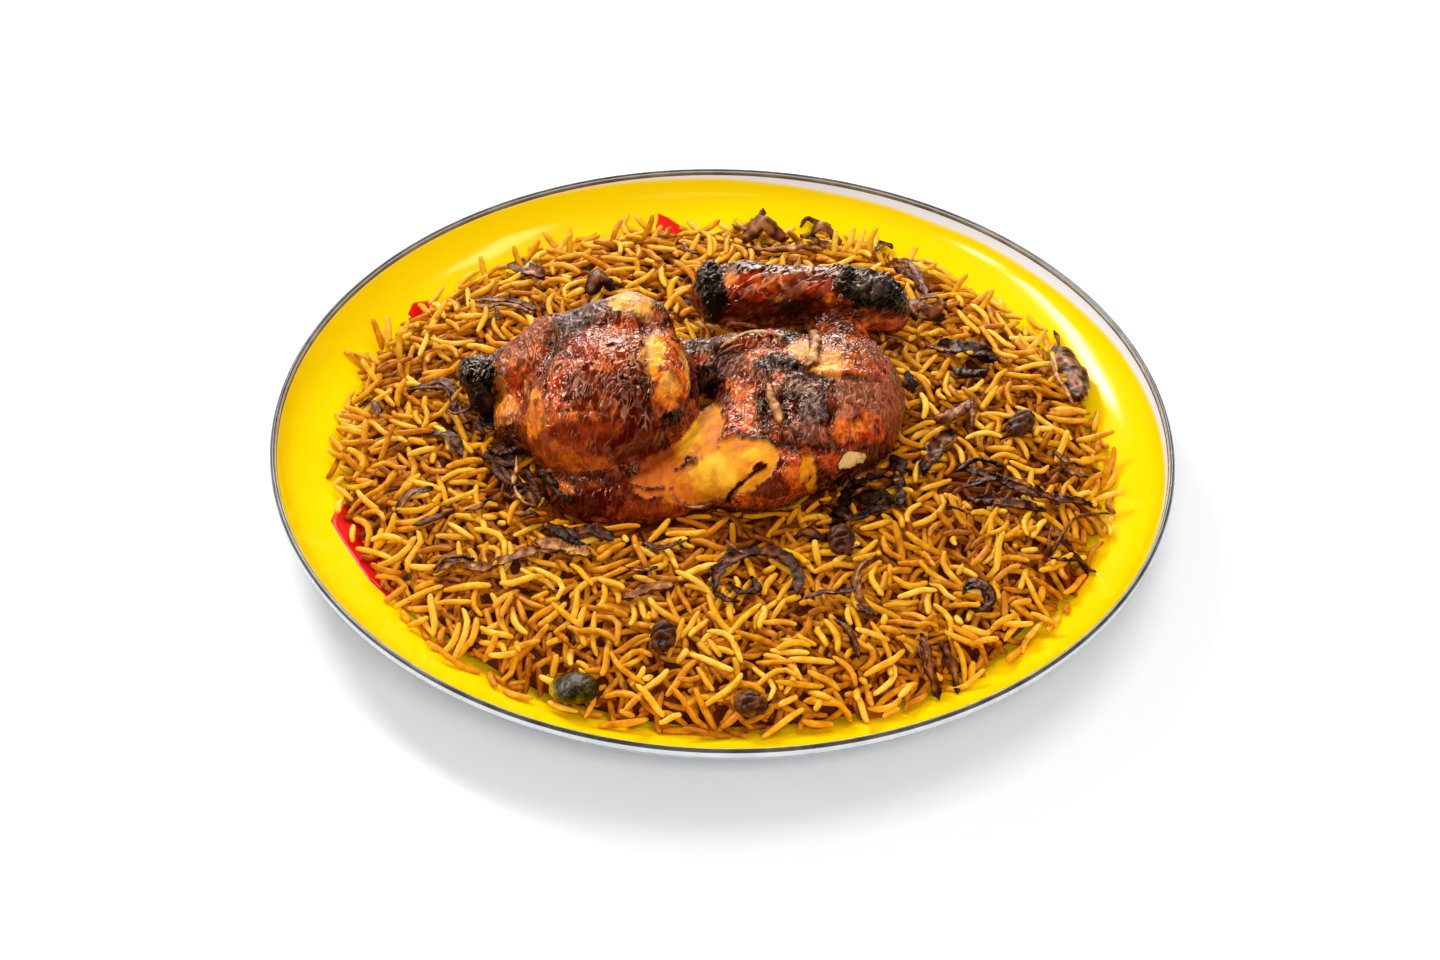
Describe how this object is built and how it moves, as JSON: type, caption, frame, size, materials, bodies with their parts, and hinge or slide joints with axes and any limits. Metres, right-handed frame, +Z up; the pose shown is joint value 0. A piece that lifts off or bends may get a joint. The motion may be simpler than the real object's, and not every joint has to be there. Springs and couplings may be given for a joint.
{
  "type": "plate of grilled chicken with rice",
  "caption": "Round yellow enamelled plate of spiced long-grain rice with half a grilled chicken on top, fried onions, raisins and a slice of green pepper.",
  "frame": {"origin": "middle of the plate's flat underside, on the surface that it stands on", "axes": "+Z up, -X along the chicken's drumstick, +Y from the breast's near side to the wing"},
  "size_m": [0.35, 0.35, 0.0742],
  "materials": {
    "yellow_enamel": "glossy yellow enamel inside, bare steel rolled edge and outside",
    "spiced_rice": "soft, slightly oily amber rice grains",
    "roast_chicken": "glazed, browned skin with charred ends and bare cream flesh",
    "fried_onion": "dark brown fried onion with a dull gloss",
    "raisin": "dark wrinkled raisin",
    "green_pepper": "glossy dark green cooked pepper skin"
  },
  "bodies": {
    "root": {"plate": "yellow_enamel", "rice_heap": "spiced_rice", "chicken": "roast_chicken", "onion_1": "fried_onion", "onion_2": "fried_onion", "onion_3": "fried_onion", "onion_4": "fried_onion", "onion_5": "fried_onion", "onion_6": "fried_onion", "onion_7": "fried_onion", "onion_8": "fried_onion", "onion_9": "fried_onion", "onion_10": "fried_onion", "onion_11": "fried_onion", "onion_12": "fried_onion", "onion_13": "fried_onion", "onion_14": "fried_onion", "onion_15": "fried_onion", "onion_16": "fried_onion", "onion_17": "fried_onion", "onion_18": "fried_onion", "onion_19": "fried_onion", "onion_20": "fried_onion", "onion_21": "fried_onion", "onion_22": "fried_onion", "onion_23": "fried_onion", "onion_24": "fried_onion", "onion_25": "fried_onion", "onion_26": "fried_onion", "onion_27": "fried_onion", "onion_28": "fried_onion", "onion_29": "fried_onion", "onion_30": "fried_onion", "onion_31": "fried_onion", "raisin_1": "raisin", "raisin_2": "raisin", "raisin_3": "raisin", "raisin_4": "raisin", "pepper_slice": "green_pepper"}
  },
  "joints": []
}
